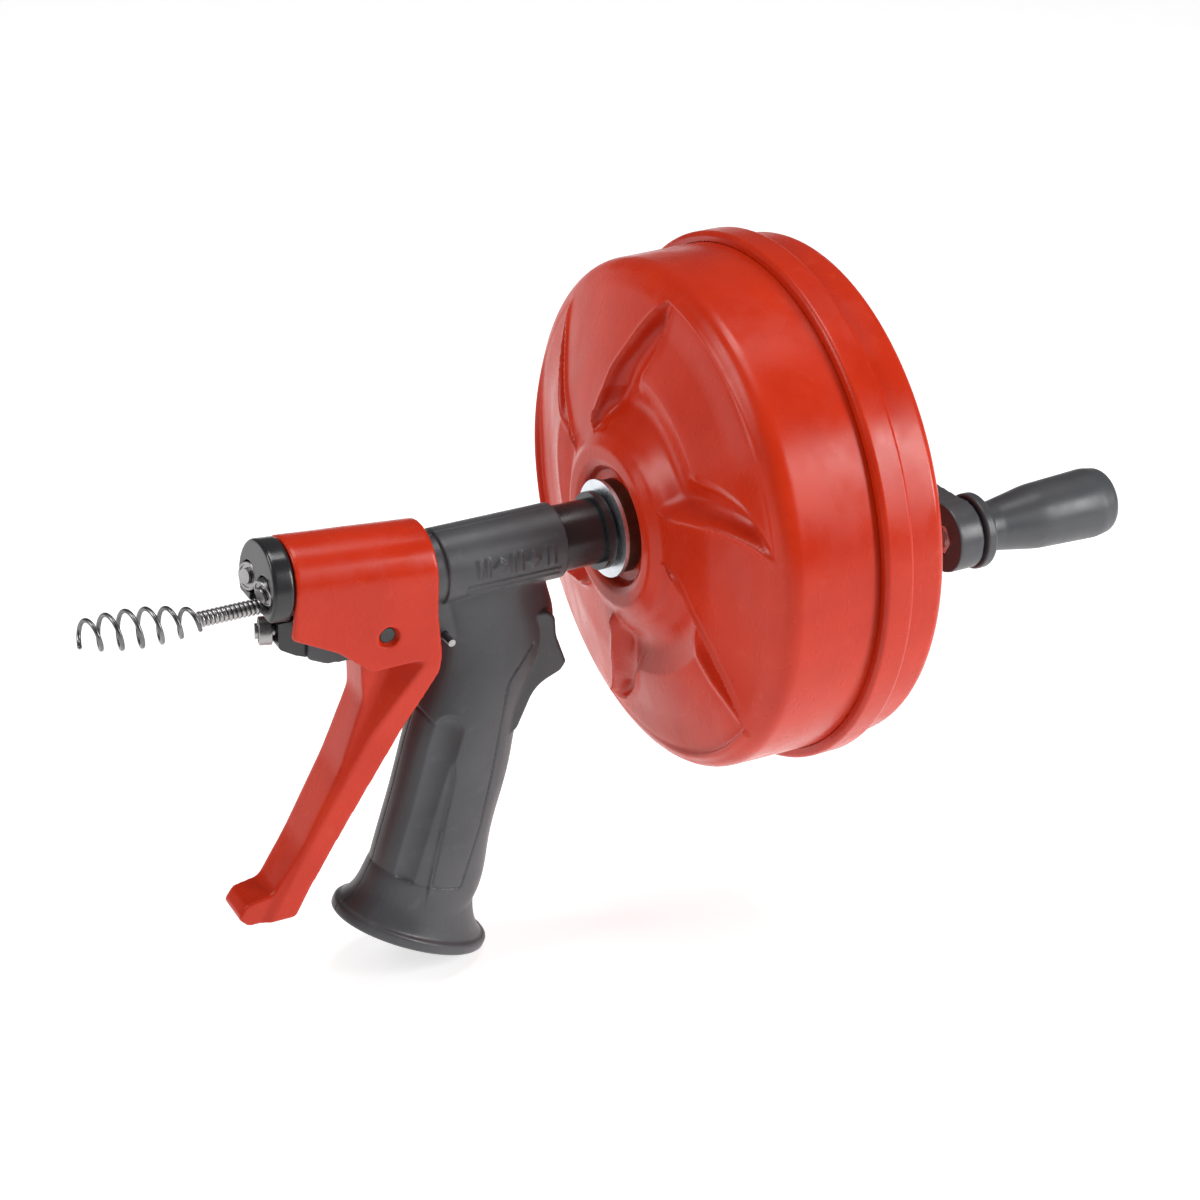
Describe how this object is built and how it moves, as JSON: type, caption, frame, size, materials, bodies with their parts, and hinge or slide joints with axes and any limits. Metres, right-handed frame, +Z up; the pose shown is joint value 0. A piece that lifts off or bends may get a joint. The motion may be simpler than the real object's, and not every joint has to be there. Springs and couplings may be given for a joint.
{
  "type": "hand-held drain cleaner",
  "caption": "Pistol-grip drain snake: a squeeze-lever roller head feeds a wound steel cable with a coil tip out of a round red drum that a side crank turns.",
  "frame": {"origin": "on the spin axis, at the root of the hexagonal drive shank behind the drum", "axes": "+X along the spin axis away from the nose, towards the crank; +Z up, the grip hangs down; +Y completes the right-handed frame and is the tool's right side"},
  "size_m": [0.4025, 0.2144, 0.2875],
  "materials": {
    "red_plastic": "satin moulded red plastic",
    "grey_plastic": "fine-textured dark grey plastic",
    "dark_plastic": "smooth near-black plastic",
    "liner_plastic": "slippery pale plastic",
    "zinc": "bright zinc-plated steel",
    "steel": "machined steel",
    "spring_steel": "dark drawn spring wire",
    "rubber": "black rubber",
    "bearing_bronze": "sintered bronze"
  },
  "bodies": {
    "frame": {"frame_left": "grey_plastic", "frame_right": "grey_plastic", "frame_screws": "steel", "barrel_tube": "dark_plastic", "cable_guide": "liner_plastic", "neck_collar": "dark_plastic", "hub_washer": "zinc", "hub_clip": "spring_steel", "lower_jaw": "dark_plastic", "lower_roller_pin": "steel", "pivot_pin": "spring_steel", "spring_post": "steel", "lever_spring": "spring_steel"},
    "drum": {"drum_front_shell": "red_plastic", "drum_rear_cover": "red_plastic", "hub_bushing": "bearing_bronze", "cover_screws": "steel", "drive_shank": "steel", "drive_screws": "steel", "cable_coil": "spring_steel", "cable_anchor": "dark_plastic"},
    "cable": {"feed_cable": "spring_steel", "bulb_auger": "spring_steel"},
    "lever": {"trigger_lever": "red_plastic", "nose_jaw": "dark_plastic", "upper_roller_pins": "steel"},
    "roller_left": {"upper_roller_left": "steel"},
    "roller_right": {"upper_roller_right": "steel"},
    "roller_low": {"lower_roller": "steel"},
    "crank": {"crank_arm": "grey_plastic", "crank_ring": "rubber", "knob_spindle": "steel", "spindle_nut": "zinc"},
    "knob": {"crank_knob": "grey_plastic"}
  },
  "joints": [
    {"name": "drum_spin", "type": "hinge", "parent": "frame", "child": "drum", "pos_m": [0, 0, 0], "axis": [1, 0, 0], "continuous": true},
    {"name": "cable_feed", "type": "slide", "parent": "drum", "child": "cable", "axis": [-1, 0, 0], "range_m": [-0.016, 0.13]},
    {"name": "lever_squeeze", "type": "hinge", "parent": "frame", "child": "lever", "pos_m": [-0.192, 0, -0.0156], "axis": [0, -1, 0], "range_deg": [0, 5.5], "stiffness_Nm_per_rad": 2.5, "springref_deg": -8.59},
    {"name": "roller_left_spin", "type": "hinge", "parent": "lever", "child": "roller_left", "pos_m": [-0.239, -0.0074, 0.0094], "axis": [0.9511, 0.2428, 0.1911], "continuous": true},
    {"name": "roller_right_spin", "type": "hinge", "parent": "lever", "child": "roller_right", "pos_m": [-0.239, 0.0074, 0.0094], "axis": [0.9511, 0.2428, -0.1911], "continuous": true},
    {"name": "roller_low_spin", "type": "hinge", "parent": "frame", "child": "roller_low", "pos_m": [-0.238, 0, -0.0106], "axis": [0.9511, -0.309, 0], "continuous": true},
    {"name": "crank_pull", "type": "slide", "parent": "drum", "child": "crank", "axis": [1, 0, 0], "range_m": [0, 0.035]},
    {"name": "knob_spin", "type": "hinge", "parent": "crank", "child": "knob", "pos_m": [0, -0.0726, 0.00763], "axis": [1, 0, 0], "continuous": true}
  ]
}
